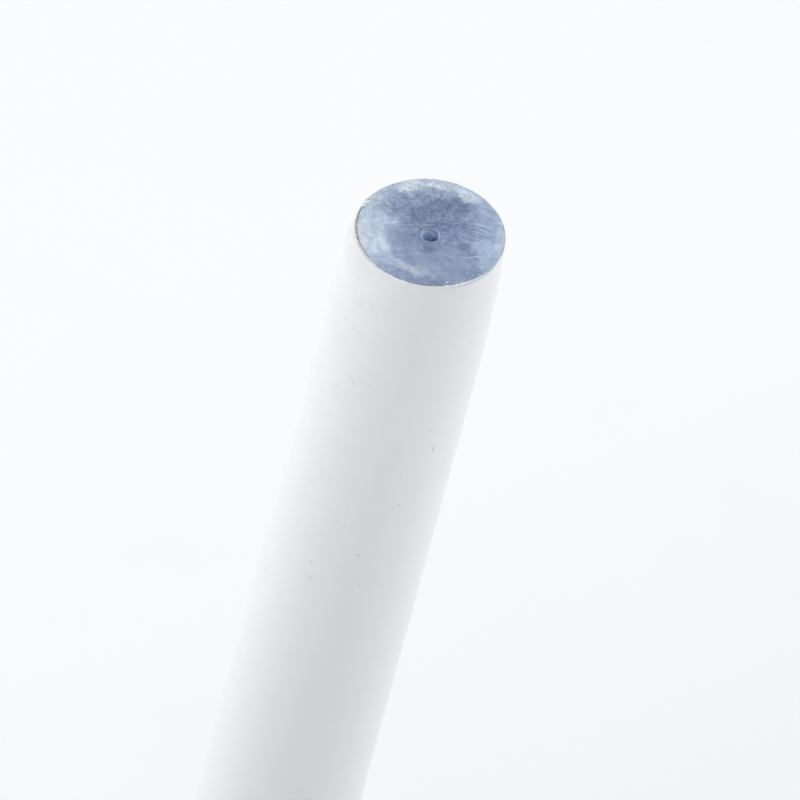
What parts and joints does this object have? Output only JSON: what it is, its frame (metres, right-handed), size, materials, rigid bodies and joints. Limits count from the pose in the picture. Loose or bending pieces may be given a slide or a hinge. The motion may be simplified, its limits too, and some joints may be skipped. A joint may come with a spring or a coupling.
{
  "type": "blending stump",
  "caption": "Single-ended paper blending stump: a tightly rolled blue-grey paper core in a smooth white paper wrapper, cut flat at one end and sanded to a point at the other.",
  "frame": {"origin": "on the stump's axis, halfway along the straight part of the barrel, where it is held", "axes": "+Z along the axis from the point to the cut end; the cut's normal leans 5 degrees from +Z towards -X; the wrapper's lap is on the +Y side"},
  "size_m": [0.0103, 0.0104, 0.1504],
  "materials": {
    "wrapper_paper": "smooth matte white",
    "roll_paper": "blue-grey, burnished at the cut end and felted at the point",
    "starter_paper": "blue-grey, hard rolled",
    "paste": "dried paste, brown"
  },
  "bodies": {
    "root": {"starter_tube": "starter_paper", "paper_roll": "roll_paper", "tail_paste": "paste", "wrapper_paste": "paste", "wrapper": "wrapper_paper", "lap_paste": "paste"}
  },
  "joints": []
}
